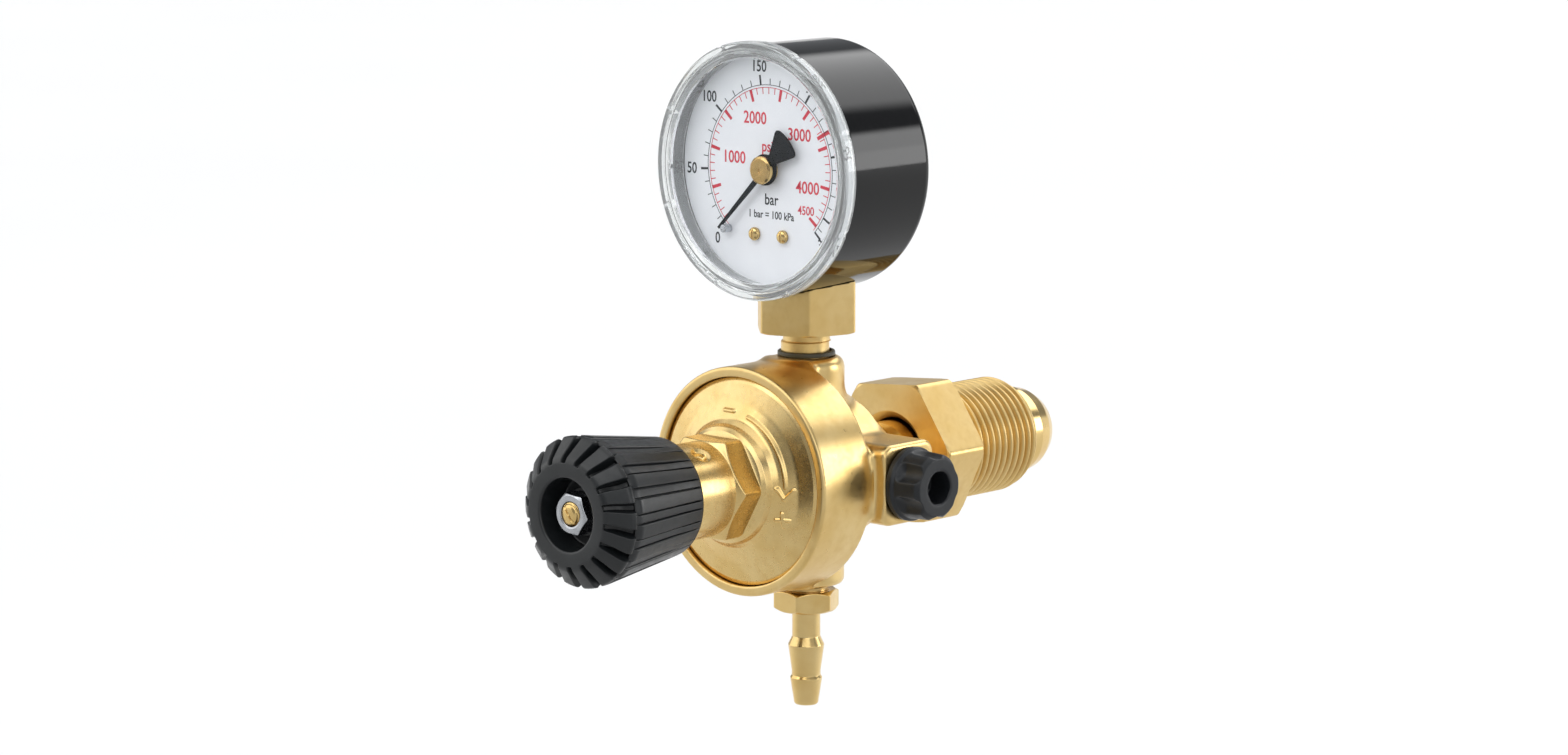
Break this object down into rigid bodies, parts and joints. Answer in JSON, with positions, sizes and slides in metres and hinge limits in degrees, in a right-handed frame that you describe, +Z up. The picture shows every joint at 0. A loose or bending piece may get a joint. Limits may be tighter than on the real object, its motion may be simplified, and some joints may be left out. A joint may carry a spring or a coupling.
{
  "type": "gas regulator",
  "caption": "Single-stage brass cylinder gas regulator: adjusting knob, dial gauge on top, bull-nose inlet with hex nut, side relief valve and hose-barb outlet below.",
  "frame": {"origin": "tip of the inlet nose on the inlet axis, where the regulator seats in the cylinder valve", "axes": "+Y along the main axis from the knob to the inlet, towards the cylinder valve; +Z up through the gauge; +X towards the relief valve"},
  "size_m": [0.0564, 0.1333, 0.129],
  "materials": {
    "cast_brass": "polished forging, satin with soft casting texture",
    "turned_brass": "bright turned brass with fine tool marks",
    "bronze": "drawn phosphor bronze or sintered bronze",
    "zinc_plate": "bright zinc plating",
    "spring_steel": "drawn wire",
    "black_plastic": "moulded nylon, semi-matt",
    "black_paint": "gloss black enamel on steel",
    "black_rubber": "matt rubber",
    "nylon": "natural nylon",
    "dial_white": "white enamel with printed scales",
    "pointer_black": "black enamel",
    "clear_plastic": "clear polycarbonate"
  },
  "bodies": {
    "root": {"body": "cast_brass", "slip_ring": "zinc_plate", "diaphragm": "black_rubber", "seat_nozzle": "turned_brass", "valve_spring": "spring_steel", "bonnet": "cast_brass", "adjusting_spring": "spring_steel", "inlet_nipple": "turned_brass", "inlet_filter": "bronze", "hose_barb": "turned_brass", "relief_cap": "black_plastic", "relief_spring": "spring_steel", "gauge_gasket": "black_rubber", "gauge_socket": "turned_brass", "gauge_case": "black_paint", "gauge_window": "clear_plastic", "blowout_plug": "black_rubber", "case_screw_1": "zinc_plate", "case_screw_2": "zinc_plate", "dial": "dial_white", "dial_screw_1": "turned_brass", "dial_screw_2": "turned_brass", "stop_pin": "zinc_plate", "bourdon_tube": "bronze", "tube_tip": "turned_brass", "movement_front_plate": "turned_brass", "movement_back_plate": "turned_brass", "movement_pillar_1": "turned_brass", "movement_pillar_2": "turned_brass", "movement_pillar_3": "turned_brass", "hairspring": "bronze"},
    "button_slider": {"spring_button": "zinc_plate"},
    "adjusting_knob": {"knob": "black_plastic", "adjusting_screw": "turned_brass", "knob_nut": "zinc_plate"},
    "valve_train": {"diaphragm_plate": "zinc_plate", "diaphragm_washer": "zinc_plate", "valve_pin": "spring_steel", "valve_poppet": "turned_brass", "seat_disc": "nylon"},
    "nut": {"inlet_nut": "turned_brass"},
    "relief_plunger": {"relief_poppet": "turned_brass", "relief_seat_disc": "black_rubber"},
    "sector": {"sector_gear": "turned_brass", "sector_arbor": "spring_steel", "tip_link": "turned_brass"},
    "pointer_shaft": {"pointer": "pointer_black", "pointer_hub": "turned_brass", "pinion": "turned_brass"}
  },
  "joints": [
    {"name": "spring_button_slide", "type": "slide", "parent": "root", "child": "button_slider", "axis": [0, 1, 0], "range_m": [0, 0.00625], "deforming": ["adjusting_spring"]},
    {"name": "knob_turn", "type": "hinge", "parent": "button_slider", "child": "adjusting_knob", "pos_m": [0, -0.12, 0], "axis": [0, 1, 0], "range_deg": [0, 1800]},
    {"name": "valve_lift", "type": "slide", "parent": "root", "child": "valve_train", "axis": [0, 1, 0], "range_m": [0, 0.0008], "stiffness_N_per_m": 200, "springref_m": -0.002, "deforming": ["valve_spring", "diaphragm"]},
    {"name": "nut_spin", "type": "hinge", "parent": "root", "child": "nut", "pos_m": [0, -0.03, 0], "axis": [0, 1, 0], "continuous": true},
    {"name": "relief_lift", "type": "slide", "parent": "root", "child": "relief_plunger", "axis": [1, 0, 0], "range_m": [0, 0.0015], "stiffness_N_per_m": 50, "springref_m": -0.003, "deforming": ["relief_spring"]},
    {"name": "sector_turn", "type": "hinge", "parent": "root", "child": "sector", "pos_m": [0.00909, -0.0742, 0.05335], "axis": [0, 1, 0], "range_deg": [-45, 0], "stiffness_Nm_per_rad": 0.002, "springref_deg": 17.19},
    {"name": "pointer_turn", "type": "hinge", "parent": "root", "child": "pointer_shaft", "pos_m": [0, -0.0742, 0.0586], "axis": [0, 1, 0], "range_deg": [0, 270]}
  ],
  "couplings": [
    {"joint": "knob_turn", "follows": "spring_button_slide", "rad_per_m": 5026.5},
    {"joint": "pointer_turn", "follows": "sector_turn", "ratio": -6}
  ]
}
